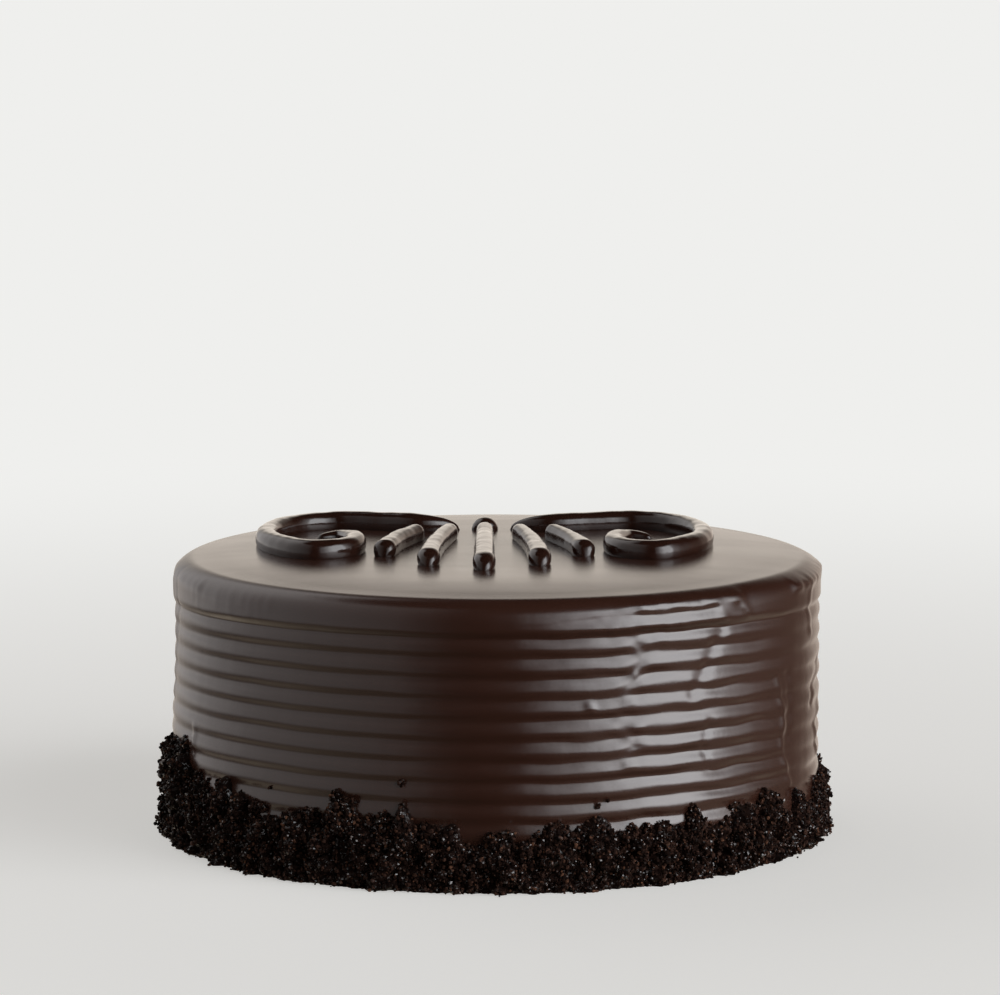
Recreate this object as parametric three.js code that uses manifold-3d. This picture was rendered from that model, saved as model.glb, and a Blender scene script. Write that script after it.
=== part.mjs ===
// A glazed chocolate torte: a round cake with comb ridges round its side, a band of cake crumbs
// pressed round its foot, and a piped fan of petals between two scrolls on its top.
// Millimetres, +Z up. The origin is the middle of the underside, and the front faces -Y.
import * as THREE from "three";
import { mergeVertices } from "three/addons/utils/BufferGeometryUtils.js";
import Module from "manifold-3d";

// Cake
const CAKE_RADIUS = 100; // over the lip of glaze under the rim
const CAKE_HEIGHT = 86;
const RIM_ROUND = 7; // radius of the rounded top edge
const LIP_PROUD = 0.4; // the lip stands out this far past the comb ridges
const LIP_HEIGHT = 77; // where the lip comes out to its full width
const FOOT_ROUND = 1;
const RIDGE_PITCH = 6.1;
const RIDGE_DEPTH = 0.65;
const GROOVE_NARROWING = 1.3; // above 1 the grooves are narrower than the ridges
const FIRST_GROOVE = 74.5; // height of the groove under the lip
const LAST_GROOVE = 12; // below it the side is plain, behind the crumbs
const CREST_RADIUS = CAKE_RADIUS - LIP_PROUD; // over the crests of the comb ridges
const CAKE_SIDES = 60;
const POINTS_PER_RIDGE = 3;
const POINTS_ON_LIP = 2;
const POINTS_ON_RIM = 5;

// Crumb band
const CRUMB_CLEARANCE = 0.3; // between the ridge crests and the band
const BAND_THICKNESS = 3.6; // of the core at the foot, without the clumps
const BAND_LEAN = 1.3; // the band is thicker by this much on its high side
const BAND_TAPER = 0.5; // share of that thickness lost towards the top
const BAND_RELIEF = 1.4; // how far the core's face swells and sinks in all
const BAND_HEIGHT = 22;
const BAND_TILT = 4; // the band climbs by this much on its high side
const BAND_HIGH_SIDE = -85; // degrees from the front, positive to the right
const BAND_SWELLS = [
  { angle: -75, width: 13, rise: 5 },
  { angle: -40, width: 7, rise: -3 },
  { angle: -1, width: 7, rise: -5 },
  { angle: 128, width: 16, rise: 4 },
  { angle: 205, width: 12, rise: -4 },
];
const CORE_DROP = 1.6; // the core stays this far under the band's top line
const CORE_FOOT = -1; // the core starts below the floor and is cut off level with it
const BAND_SIDES = 132;
const BAND_LEVELS = [0, 0.22, 0.46, 0.7, 0.9, 1];
const CLUMP_COUNT = 105;
const CLUMP_RADIUS = { least: 2.3, most: 3.6 };
const CLUMP_UNEVENNESS = 0.3; // share of its radius that a clump's corners vary by
const CLUMP_SINK = 0.5; // share of its radius that a clump's middle lies inside the core's face
const CLUMP_CROWDING = 0.7; // below 1 more of the clumps sit near the band's top

// Piped ornament: two scrolls back to back, with a fan of petals between them
const ROPE_WIDTH = 7;
const ROPE_HEIGHT = 5.6;
const ROPE_SIDES = 8;
const ROPE_FOOT_ANGLE = 40; // how far under its widest level the rope meets the glaze, in degrees
const ORNAMENT_MIDDLE = -4; // the ornament sits this far to the right of the cake's middle
const SCROLL_ROUTE = [
  [8, 41], // out from the ornament's middle line, and towards the back
  [20, 38],
  [34, 42],
  [48, 45],
  [60, 38],
  [67, 22],
  [67.5, 4],
  [62, -13],
  [52.5, -24],
  [43.5, -20],
  [40, -6],
  [45, 7],
  [52, 4],
];
const SCROLL_STEPS = 48;
const SCROLL_ENDS = { start: 0.1, end: 0.12 }; // shares of the stroke that its ends taper over
const TAIL_LIFT = 2; // the end of a scroll is flicked up off the glaze
const TAIL_FROM = 0.94;
const PETAL = { width: 7.2, height: 5, narrowing: 0.3, bow: 1.5 };
const PETAL_STEPS = 10;
const PETAL_ENDS = { start: 0.12, end: 0.1 };
const PETALS = [
  { from: [-20, 22], to: [-31, -22] },
  { from: [-10, 26], to: [-17, -42] },
  { from: [0, 30], to: [0, -52] },
  { from: [10, 26], to: [17, -42] },
  { from: [20, 22], to: [31, -22] },
];
const PEARL = { x: 0, y: 42, radius: 4.2, height: 4 };
const PEARL_STEPS = 6;
const LEAST_SECTION = 0.08; // share of its full section that a stroke keeps at its very ends

const RELIEF_SEED = 7;
const GOLDEN = 0.6180339887; // evenly spread fractions, one irrational step for each quantity
const SPREAD_LEVEL = 0.7548776662;
const SPREAD_SIZE = 0.569840291;
const SPREAD_TURN = 0.3247179572;
const DRAW_FACTOR = 1664525; // a plain linear generator of 32-bit numbers
const DRAW_SHIFT = 1013904223;
const DRAW_RANGE = 2 ** 32;
const WELD = 1e-3; // corners closer than this are one

const wasm = await Module();
wasm.setup();

const radians = THREE.MathUtils.degToRad;
const lerp = THREE.MathUtils.lerp;
const fraction = (value) => value - Math.floor(value);

const GLAZE = new THREE.MeshStandardMaterial({ color: 0x2b1a14, roughness: 0.3, metalness: 0 });
const CRUMB = new THREE.MeshStandardMaterial({ color: 0x17100d, roughness: 0.9, metalness: 0 });
const PIPED = new THREE.MeshStandardMaterial({ color: 0x1c0f0b, roughness: 0.15, metalness: 0 });

// Repeatable draws between 0 and 1.
function drawsFrom(seed) {
  let state = seed;
  return () => {
    state = (Math.imul(state, DRAW_FACTOR) + DRAW_SHIFT) >>> 0;
    return state / DRAW_RANGE;
  };
}

// A closed geometry as a solid that can be joined and cut.
function solidOf(geometry) {
  const bare = new THREE.BufferGeometry();
  bare.setAttribute("position", geometry.getAttribute("position").clone());
  bare.setIndex(geometry.index);
  const merged = mergeVertices(bare, WELD);
  return new wasm.Manifold(
    new wasm.Mesh({
      numProp: 3,
      vertProperties: merged.attributes.position.array,
      triVerts: new Uint32Array(merged.index.array),
    }),
  );
}

function geometryOf(solid) {
  const { vertProperties, triVerts } = solid.getMesh();
  const geometry = new THREE.BufferGeometry();
  geometry.setAttribute("position", new THREE.BufferAttribute(vertProperties, 3));
  geometry.setIndex(new THREE.BufferAttribute(triVerts, 1));
  geometry.computeVertexNormals();
  return geometry;
}

// The one large body of a solid, without loose scraps and sealed hollows.
function mainBody(solid) {
  return solid.decompose().reduce((best, body) => (body.volume() > best.volume() ? body : best));
}

function indexedGeometry(points, triangles) {
  const geometry = new THREE.BufferGeometry();
  geometry.setAttribute("position", new THREE.Float32BufferAttribute(points.flat(), 3));
  geometry.setIndex(triangles.flat());
  geometry.computeVertexNormals();
  return geometry;
}

// The skin between closed rings of equal length: ring after ring, each running the same way round.
function skinBetween(ringCount, ringLength, closed) {
  const triangles = [];
  const last = closed ? ringCount : ringCount - 1;
  for (let ring = 0; ring < last; ring++) {
    const here = ring * ringLength;
    const next = ((ring + 1) % ringCount) * ringLength;
    for (let i = 0; i < ringLength; i++) {
      const j = (i + 1) % ringLength;
      triangles.push([here + i, next + j, here + j], [here + i, next + i, next + j]);
    }
  }
  return triangles;
}

function sideRadius(z) {
  const phase = ((FIRST_GROOVE - z) / RIDGE_PITCH) * 2 * Math.PI;
  return CREST_RADIUS - RIDGE_DEPTH * (0.5 + 0.5 * Math.cos(phase)) ** GROOVE_NARROWING;
}

function cakeGeometry() {
  const foot = CREST_RADIUS - RIDGE_DEPTH;
  const profile = [
    new THREE.Vector2(0, 0),
    new THREE.Vector2(foot - FOOT_ROUND, 0),
    new THREE.Vector2(foot, FOOT_ROUND),
  ];
  const ridges = Math.floor((FIRST_GROOVE - LAST_GROOVE) / RIDGE_PITCH);
  for (let i = ridges * POINTS_PER_RIDGE; i >= 0; i--) {
    const z = FIRST_GROOVE - (i / POINTS_PER_RIDGE) * RIDGE_PITCH;
    profile.push(new THREE.Vector2(sideRadius(z), z));
  }
  for (let i = 1; i <= POINTS_ON_LIP; i++) {
    const share = i / POINTS_ON_LIP;
    const swell = Math.sin((share * Math.PI) / 2);
    const z = lerp(FIRST_GROOVE, LIP_HEIGHT, share);
    profile.push(new THREE.Vector2(lerp(sideRadius(FIRST_GROOVE), CAKE_RADIUS, swell), z));
  }
  for (let i = 0; i <= POINTS_ON_RIM; i++) {
    const angle = (i / POINTS_ON_RIM) * (Math.PI / 2);
    const inset = RIM_ROUND * (1 - Math.cos(angle));
    const drop = RIM_ROUND * (1 - Math.sin(angle));
    profile.push(new THREE.Vector2(CAKE_RADIUS - inset, CAKE_HEIGHT - drop));
  }
  profile.push(new THREE.Vector2(0, CAKE_HEIGHT));
  return new THREE.LatheGeometry(profile, CAKE_SIDES).rotateX(Math.PI / 2);
}

// Height of the band's top line at an angle from the front, in degrees.
function bandTop(angle) {
  const tilt = BAND_TILT * Math.cos(radians(angle - BAND_HIGH_SIDE));
  const swells = BAND_SWELLS.reduce((sum, { angle: middle, width, rise }) => {
    const apart = THREE.MathUtils.euclideanModulo(angle - middle + 180, 360) - 180;
    return sum + rise * Math.exp(-((apart / width) ** 2));
  }, 0);
  return BAND_HEIGHT + tilt + swells;
}

// Outer radius of the band's core at an angle and a share of its height.
function coreRadius(angle, level) {
  const foot = BAND_THICKNESS + BAND_LEAN * Math.cos(radians(angle - BAND_HIGH_SIDE));
  return CREST_RADIUS + CRUMB_CLEARANCE + foot * (1 - BAND_TAPER * level ** 2);
}

function bandPoint(angle, radius, z) {
  return [radius * Math.sin(radians(angle)), -radius * Math.cos(radians(angle)), z];
}

// The core reaches into the cake, and is cut back to the clearance once the clumps are on.
function bandCore() {
  const points = [];
  const draw = drawsFrom(RELIEF_SEED);
  const inside = CAKE_RADIUS - CLUMP_RADIUS.most;
  for (let i = 0; i < BAND_SIDES; i++) {
    const angle = (i / BAND_SIDES) * 360;
    const top = bandTop(angle) - CORE_DROP;
    for (const level of BAND_LEVELS) {
      const swell = BAND_RELIEF * (draw() - 0.5);
      const z = level > 0 ? level * top : CORE_FOOT;
      points.push(bandPoint(angle, coreRadius(angle, level) + swell, z));
    }
    points.push(bandPoint(angle, inside, top), bandPoint(angle, inside, CORE_FOOT));
  }
  return indexedGeometry(points, skinBetween(BAND_SIDES, BAND_LEVELS.length + 2, true));
}

// One clump of crumbs: a few-sided lump with uneven corners.
function crumbClump(i) {
  const angle = 360 * fraction(i * GOLDEN);
  const level = fraction(i * SPREAD_LEVEL) ** CLUMP_CROWDING;
  const radius = lerp(CLUMP_RADIUS.least, CLUMP_RADIUS.most, fraction(i * SPREAD_SIZE));
  const lump = new THREE.IcosahedronGeometry(radius, 0);
  lump.deleteAttribute("normal");
  lump.deleteAttribute("uv");
  const merged = mergeVertices(lump, WELD);
  const corners = merged.attributes.position;
  const corner = new THREE.Vector3();
  for (let k = 0; k < corners.count; k++) {
    const uneven = 1 + CLUMP_UNEVENNESS * (fraction((i * corners.count + k) * GOLDEN) - 0.5);
    corner.fromBufferAttribute(corners, k).multiplyScalar(uneven);
    corners.setXYZ(k, corner.x, corner.y, corner.z);
  }
  merged.rotateX(2 * Math.PI * fraction(i * SPREAD_TURN));
  merged.rotateZ(2 * Math.PI * fraction(i * SPREAD_SIZE));
  const reach = bandTop(angle) - radius;
  const out = coreRadius(angle, level) - CLUMP_SINK * radius;
  return merged.translate(...bandPoint(angle, out, lerp(radius * CLUMP_SINK, reach, level)));
}

function crumbBandGeometry() {
  const clumps = Array.from({ length: CLUMP_COUNT }, (_, i) => solidOf(crumbClump(i)));
  const heap = clumps.reduce((sum, clump) => sum.add(clump), solidOf(bandCore()));
  const clear = (CREST_RADIUS + CRUMB_CLEARANCE) / Math.cos(Math.PI / BAND_SIDES);
  const reach = 2 * CAKE_HEIGHT;
  const hole = new THREE.CylinderGeometry(clear, clear, reach, BAND_SIDES).rotateX(Math.PI / 2);
  const wide = 4 * CAKE_RADIUS;
  const under = new THREE.BoxGeometry(wide, wide, reach).translate(0, 0, -reach / 2);
  return geometryOf(mainBody(heap.subtract(solidOf(hole)).subtract(solidOf(under))));
}

// A stroke of piped chocolate: a flat-footed round section carried along a line on the glaze.
// widthAt, heightAt and liftAt give the section's size and its height off the glaze along it.
function strokeGeometry(line, widthAt, heightAt, liftAt = () => 0) {
  const footSine = Math.sin(radians(ROPE_FOOT_ANGLE));
  const sweep = 180 + 2 * ROPE_FOOT_ANGLE;
  const points = [];
  line.forEach(([x, y], i) => {
    const along = i / (line.length - 1);
    const before = line[Math.max(i - 1, 0)];
    const after = line[Math.min(i + 1, line.length - 1)];
    const heading = Math.atan2(after[1] - before[1], after[0] - before[0]);
    for (let k = 0; k < ROPE_SIDES; k++) {
      const angle = radians((k / (ROPE_SIDES - 1)) * sweep - ROPE_FOOT_ANGLE);
      const across = (Math.cos(angle) * widthAt(along)) / 2;
      const up = (Math.sin(angle) + footSine) / (1 + footSine);
      const z = liftAt(along) + up * heightAt(along);
      points.push([x + across * Math.sin(heading), y - across * Math.cos(heading), z]);
    }
  });
  const triangles = skinBetween(line.length, ROPE_SIDES, false);
  const end = (line.length - 1) * ROPE_SIDES;
  for (let k = 1; k < ROPE_SIDES - 1; k++) {
    triangles.push([0, k, k + 1], [end, end + k + 1, end + k]);
  }
  return indexedGeometry(points, triangles);
}

// Rounded ends: the section grows from nothing over a share of the stroke, and shrinks at its end.
function roundedEnds(along, { start, end }) {
  const fade = (share) => Math.sqrt(Math.max(0, 1 - (1 - Math.min(share, 1)) ** 2));
  return Math.max(LEAST_SECTION, fade(along / start) * fade((1 - along) / end));
}

// A scroll on the left (side -1) or the right (side 1): it runs out from the middle and curls inwards.
function scrollGeometry(side) {
  const route = SCROLL_ROUTE.map(([out, y]) => new THREE.Vector3(side * out, y, 0));
  const line = new THREE.CatmullRomCurve3(route)
    .getSpacedPoints(SCROLL_STEPS)
    .map(({ x, y }) => [x, y]);
  const size = (along) => roundedEnds(along, SCROLL_ENDS);
  return strokeGeometry(
    line,
    (along) => ROPE_WIDTH * size(along),
    (along) => ROPE_HEIGHT * size(along),
    (along) => TAIL_LIFT * Math.max(0, (along - TAIL_FROM) / (1 - TAIL_FROM)) ** 2,
  );
}

// A petal: a stroke drawn from the back to the front, narrow at first and bowed out to its side.
function petalGeometry({ from, to }) {
  const start = new THREE.Vector2(...from);
  const run = new THREE.Vector2(...to).sub(start);
  const aside = new THREE.Vector2(Math.sign(from[0]), 0);
  const line = Array.from({ length: PETAL_STEPS + 1 }, (_, i) => {
    const share = i / PETAL_STEPS;
    const bow = PETAL.bow * Math.sin(Math.PI * share);
    return start.clone().addScaledVector(run, share).addScaledVector(aside, bow).toArray();
  });
  const size = (along) => roundedEnds(along, PETAL_ENDS);
  return strokeGeometry(
    line,
    (along) => PETAL.width * (1 - PETAL.narrowing * (1 - along)) * size(along),
    (along) => PETAL.height * size(along),
  );
}

function pearlGeometry() {
  const line = Array.from({ length: PEARL_STEPS + 1 }, (_, i) => {
    const share = -Math.cos((Math.PI * i) / PEARL_STEPS);
    return [PEARL.x + PEARL.radius * share, PEARL.y];
  });
  const size = (along) => Math.max(LEAST_SECTION, Math.sin(Math.PI * along));
  return strokeGeometry(
    line,
    (along) => 2 * PEARL.radius * size(along),
    (along) => PEARL.height * size(along),
  );
}

function named(name, geometry, material) {
  const mesh = new THREE.Mesh(geometry, material.clone());
  mesh.name = name;
  return mesh;
}

const ornament = new THREE.Group();
ornament.position.set(ORNAMENT_MIDDLE, 0, CAKE_HEIGHT);
[-1, 1].forEach((side, i) => {
  ornament.add(named(`piped_scroll_${i + 1}`, scrollGeometry(side), PIPED));
});
PETALS.forEach((petal, i) => {
  ornament.add(named(`piped_petal_${i + 1}`, petalGeometry(petal), PIPED));
});
ornament.add(named("piped_pearl", pearlGeometry(), PIPED));

const torte = new THREE.Group();
torte.add(named("glazed_cake", cakeGeometry(), GLAZE));
torte.add(named("crumb_band", crumbBandGeometry(), CRUMB));
torte.add(ornament);

export default torte;
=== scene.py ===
import math

import bmesh
import bpy
import numpy as np
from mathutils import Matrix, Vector, noise


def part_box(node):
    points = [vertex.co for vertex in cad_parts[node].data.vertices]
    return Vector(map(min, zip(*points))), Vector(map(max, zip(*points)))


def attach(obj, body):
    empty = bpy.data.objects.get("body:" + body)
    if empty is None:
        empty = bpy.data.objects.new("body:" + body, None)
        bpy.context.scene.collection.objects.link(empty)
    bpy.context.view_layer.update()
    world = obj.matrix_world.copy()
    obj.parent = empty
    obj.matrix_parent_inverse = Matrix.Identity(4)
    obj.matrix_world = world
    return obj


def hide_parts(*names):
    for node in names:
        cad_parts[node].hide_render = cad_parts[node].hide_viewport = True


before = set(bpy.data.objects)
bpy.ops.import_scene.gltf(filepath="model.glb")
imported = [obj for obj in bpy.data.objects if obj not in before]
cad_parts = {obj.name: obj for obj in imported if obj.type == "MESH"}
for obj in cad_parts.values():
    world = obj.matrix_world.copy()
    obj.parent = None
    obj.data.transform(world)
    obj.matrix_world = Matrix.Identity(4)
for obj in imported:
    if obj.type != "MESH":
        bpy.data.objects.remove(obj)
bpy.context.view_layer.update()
mm = 0.001  # sizes below are in millimetres, and each mesh is scaled by this when it is done
scene = bpy.context.scene
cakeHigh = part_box("glazed_cake")[1]
cakeRadius = cakeHigh.x / mm  # over the lip
cakeHeight = cakeHigh.z / mm
print("frame loaded: cake radius %.1f, height %.1f mm" % (cakeRadius, cakeHeight))

# camera, fitted to the photograph's view
cameraView = {
    "place": (0, -1401.25, 282.04),
    "tiltDown": 7.279,
    "turn": -0.0327,
    "lens": 164.25,
    "sensor": 36,
    "farClip": 100,
}


def makeCamera():
    data = bpy.data.cameras.new("viewCamera")
    data.lens = cameraView["lens"]
    data.sensor_width = cameraView["sensor"]
    data.clip_end = cameraView["farClip"]
    camera = bpy.data.objects.new("viewCamera", data)
    camera.location = Vector(cameraView["place"]) * mm
    pitch = math.radians(90 - cameraView["tiltDown"])
    camera.rotation_euler = (pitch, 0, math.radians(cameraView["turn"]))
    scene.collection.objects.link(camera)
    scene.camera = camera


makeCamera()
print("camera set")


# shader maths: a socket that can be added, multiplied and so on
class Sock:
    def __init__(self, tree, socket=None):
        self.tree = tree
        self.socket = socket

    def make(self, kind, settings=None, sockets=None, pick=0):
        node = self.tree.nodes.new(kind)
        for name, value in (settings or {}).items():
            if name == "stops":
                self.setStops(node.color_ramp, value)
            else:
                setattr(node, name, value)
        for key, value in (sockets or {}).items():
            self.feed(node.inputs[key], value)
        return Sock(self.tree, node.outputs[pick])

    def feed(self, target, value):
        if isinstance(value, Sock):
            self.tree.links.new(value.socket, target)
        else:
            target.default_value = value

    def setStops(self, ramp, stops):
        while len(ramp.elements) < len(stops):
            ramp.elements.new(1)
        for element, (place, colour) in zip(ramp.elements, stops):
            element.position = place
            element.color = (*colour, 1)

    def sum(self, operation, *values):
        return self.make("ShaderNodeMath", {"operation": operation}, dict(enumerate(values)))

    def __add__(self, other):
        return self.sum("ADD", self, other)

    def __radd__(self, other):
        return self.sum("ADD", other, self)

    def __sub__(self, other):
        return self.sum("SUBTRACT", self, other)

    def __rsub__(self, other):
        return self.sum("SUBTRACT", other, self)

    def __mul__(self, other):
        return self.sum("MULTIPLY", self, other)

    def __truediv__(self, other):
        return self.sum("DIVIDE", self, other)

    def step(self, low, high):  # 0 below low, 1 above high, smooth between
        settings = {"interpolation_type": "SMOOTHSTEP"}
        return self.make("ShaderNodeMapRange", settings, {0: self, 1: low, 2: high})

    def blend(self, first, second):  # this value mixes two colours
        sockets = {0: self, 6: first, 7: second}
        return self.make("ShaderNodeMix", {"data_type": "RGBA"}, sockets, 2)

    def noise(self, place, scale, detail):
        return self.make("ShaderNodeTexNoise", {}, {"Vector": place, "Scale": scale, "Detail": detail})

    def bump(self, strength, distance):  # this value as height
        sockets = {"Strength": strength, "Distance": distance, "Height": self}
        return self.make("ShaderNodeBump", {}, sockets)


def newMaterial(name):
    material = bpy.data.materials.new(name)
    material.use_nodes = True
    tree = material.node_tree
    tree.nodes.clear()
    nodes = Sock(tree)
    place = nodes.make("ShaderNodeTexCoord", pick="Object")
    return material, nodes, place


def output(nodes, shader, kind="ShaderNodeOutputMaterial"):
    out = nodes.tree.nodes.new(kind)
    nodes.tree.links.new(shader.socket, out.inputs["Surface"])


def rgba(colour, gain=1.0):
    return (*(channel * gain for channel in colour), 1)


# chocolate glaze: dark brown, satin gloss, drawn out on top by the spatula
glazeFinish = {
    "colour": (0.075, 0.0292, 0.0183),
    "mottle": 0.12,  # share that the colour drifts by
    "mottleScale": 40,
    "mottleDetail": 3,
    "roughness": 0.22,
    "roughnessDrift": 0.06,
    "streakStretch": (5, 90, 90),  # long along the stroke of the spatula
    "streakDetail": 3,
    "streakHeight": 1.6,  # against the skin's grain
    "topEdge": (0.0835, 0.0855),  # the streaks start between these heights, in metres
    "skinScale": 700,
    "skinDetail": 2,
    "skinHeight": 0.00002,  # in metres
    "ior": 2.2,  # a strong even gloss
}
# piped chocolate: darker and glossier than the glaze
pipingFinish = {
    "colour": (0.046, 0.018, 0.0118),
    "mottle": 0.25,
    "mottleScale": 220,
    "mottleDetail": 2,
    "roughness": 0.14,
    "roughnessDrift": 0.08,
    "skinScale": 900,
    "skinDetail": 1,
    "skinHeight": 0.00003,
    "ior": 1.9,
}


def chocolateMaterial(name, f):
    material, nodes, place = newMaterial(name)
    drift = nodes.noise(place, f["mottleScale"], f["mottleDetail"])
    colour = drift.blend(rgba(f["colour"], 1 - f["mottle"]), rgba(f["colour"], 1 + f["mottle"]))
    wear = drift
    skin = nodes.noise(place, f["skinScale"], f["skinDetail"])
    if "streakStretch" in f:
        onTop = nodes.make("ShaderNodeSeparateXYZ", {}, {0: place}, 2).step(*f["topEdge"])
        stretched = nodes.make("ShaderNodeMapping", {}, {"Vector": place, "Scale": f["streakStretch"]})
        streaks = onTop * nodes.noise(stretched, 1, f["streakDetail"])
        wear = drift + streaks
        skin = skin + streaks * f["streakHeight"]
    shader = nodes.make("ShaderNodeBsdfPrincipled", {}, {
        "Base Color": colour,
        "Roughness": f["roughness"] + (wear - 0.5) * f["roughnessDrift"],
        "IOR": f["ior"],
        "Normal": skin.bump(1, f["skinHeight"]),
    })
    output(nodes, shader)
    return material


# cake crumbs: nearly black, moist, each grain with its own tone and a few that glint
crumbFinish = {
    "tones": [
        (0, (0.0080, 0.0039, 0.0030)),
        (0.5, (0.033, 0.0166, 0.0124)),
        (0.92, (0.096, 0.048, 0.034)),
        (1, (0.22, 0.104, 0.062)),
    ],
    "grainScale": 1400,
    "grainDetail": 3,
    "grainHeight": 0.0002,
    "toneDrift": 0.35,  # share that the tone drifts by within a grain
    "roughness": 0.6,
    "specular": 0.05,
    "glintSpread": 7.3,
    "glintShare": (0.72, 0.97),
    "glint": 0.9,
    "glintRoughness": 0.2,
    "glintIor": 2.3,
}


def crumbMaterial():
    f = crumbFinish
    material, nodes, place = newMaterial("cakeCrumb")
    tone = nodes.make("ShaderNodeAttribute", {"attribute_name": "tone"}, pick="Fac")
    grain = nodes.noise(place, f["grainScale"], f["grainDetail"])
    shade = tone + (grain - 0.5) * f["toneDrift"]
    glint = nodes.sum("FRACT", tone * f["glintSpread"]).step(*f["glintShare"])
    shader = nodes.make("ShaderNodeBsdfPrincipled", {}, {
        "Base Color": nodes.make("ShaderNodeValToRGB", {"stops": f["tones"]}, {0: shade}),
        "Roughness": f["roughness"],
        "Specular IOR Level": f["specular"],
        "Coat Weight": glint * f["glint"],
        "Coat Roughness": f["glintRoughness"],
        "Coat IOR": f["glintIor"],
        "Normal": grain.bump(1, f["grainHeight"]),
    })
    output(nodes, shader)
    return material


def addPiece(name, mesh, material):
    mesh.materials.append(material)
    piece = bpy.data.objects.new(name, mesh)
    scene.collection.objects.link(piece)
    return piece


def meshPiece(name, bm, material, smooth=True):
    bmesh.ops.scale(bm, vec=(mm, mm, mm), verts=bm.verts)
    mesh = bpy.data.meshes.new(name)
    bm.to_mesh(mesh)
    bm.free()
    mesh.polygons.foreach_set("use_smooth", [smooth] * len(mesh.polygons))
    return addPiece(name, mesh, material)


def coordinates(bm):
    return np.array([vert.co for vert in bm.verts])


def moveTo(bm, points):
    for vert, point in zip(bm.verts, points):
        vert.co = point


def gridSheet(columns, rows):  # a flat grid, and each vertex's column and row in it
    bm = bmesh.new()
    bmesh.ops.create_grid(bm, x_segments=columns, y_segments=rows, size=0.5)
    spots = coordinates(bm) + 0.5
    column = np.round(spots[:, 0] * columns).astype(int)
    row = np.round(spots[:, 1] * rows).astype(int)
    return bm, column, row


joinWithin, thinnestEdge = 0.001, 0.0001


def closeUp(bm):  # joins the seam and the ends, and turns the faces outwards
    bmesh.ops.remove_doubles(bm, verts=bm.verts, dist=joinWithin)
    bmesh.ops.dissolve_degenerate(bm, edges=bm.edges, dist=thinnestEdge)
    bmesh.ops.recalc_face_normals(bm, faces=bm.faces)


seedStep = (17.3, -9.1, 4.7)  # each seed's noise lies this far from the last


def ripple(points, height, size, seed):  # soft noise up to about that height, with swells of that size
    shift = Vector([seed * step for step in seedStep])
    return height * np.array([noise.noise(Vector(point) / size + shift) for point in points])


def swell(apart, width):  # 1 in the middle, falling off to nothing
    return np.exp(-((apart / width) ** 2))


def onSide(angle, radius, z):  # angle from the front, positive to the right
    return np.stack([radius * np.sin(angle), -radius * np.cos(angle), z], axis=-1)


# the glazed cake: comb ridges round the side, a lip under the rounded rim, a gently crowned top
# uneven things are given as the height, the size of their swells and a seed
glaze = {
    "rimRound": 7,
    "lipProud": 0.4,
    "lipHeight": 77,
    "footRound": 1,
    "ridgePitch": 6.1,
    "ridgeDepth": 0.65,
    "grooveNarrowing": 1.3,
    "firstGroove": 74.5,
    "lastGroove": 12,
    "combDrop": 2.4,  # the comb ran this much lower round the sides than at the front
    "combWander": (0.5, 55, 1),  # slow rise and fall of the ridges
    "combWaver": (0.5, 12, 7),  # quick rise and fall, on the right
    "combFade": (0.6, 14, 2),  # share that the ridges' depth drifts by, on the right
    "strokeStretch": (1, 1, 3),  # both are long along the comb's stroke
    "steady": 0.25,  # share of both on the left
    "frontShare": 0.5,  # how far that has grown to the full amount at the front
    "growth": 1.2,  # and how fast it grows to the right
    "sway": (0.14, 9, 12),  # long shallow swells across the ridges
    "swayStretch": (0.35, 0.35, 1),
    "streak": (0.03, 4, 15),  # faint upright streaks
    "streakStretch": (1, 1, 0.2),
    "belly": 0.25,  # the side stands out this much halfway up
    "flare": 1.3,  # and swells on the left, low down
    "flareHeight": 32,
    "flareSpread": 14,
    "unround": (0.35, 60, 3),
    "crown": 1.95,  # the top falls away by this much towards the rim
    "crownFrom": 58,  # from this radius
    "crownPower": 2.3,
    "rimDrop": 0.5,  # and the rim lies this far under the cake's height
    "weakSpots": [(66, 15, 0.55), (-80, 24, 0.42)],  # degrees, width and share of the ridges lost there
    "topSwell": (0.12, 35, 4),
    "steps": 540,  # round the cake
    "frontCrowding": 0.5,  # share by which those steps are finer at the front
    "sideStep": 0.5,
    "rimPoints": 14,
    "topPoints": 19,
    "footPoints": 6,
}
crestRadius = cakeRadius - glaze["lipProud"]
deepRadius = crestRadius - glaze["ridgeDepth"] - glaze["unround"][0]  # about the deepest of the grooves

# where the comb's round met itself the ridges break off in a ragged line with beads beside it
combJoint = {
    "path": [(23.3, 77), (24.3, 71), (24.8, 66.3), (23.1, 60.5), (20.5, 53.4), (21.9, 46.7), (23.5, 41.3),
             (20.3, 35.2), (20.8, 24)],
    "calm": [0.6, 0.95, 0.9, 0.9, 0.3, 0.6, 0.95, 0.2, 0],  # share of the ridges that is lost along it
    "calmWidth": 2.4,
    "sunk": 0.5,  # how deep the glaze lies there, as a share of the grooves' depth
    "shift": 0.8,  # on its right the ridges lie this much higher
    "shiftOver": 9,
    "shiftEnds": 140,
    "beads": [(28, 72.6), (26.7, 68.4), (23.9, 62.5), (22.1, 55.4), (23.8, 47), (24.6, 43.4), (22.2, 36.3)],
    "beadHeight": 0.2,
    "beadWidth": 1.4,
}
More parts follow.
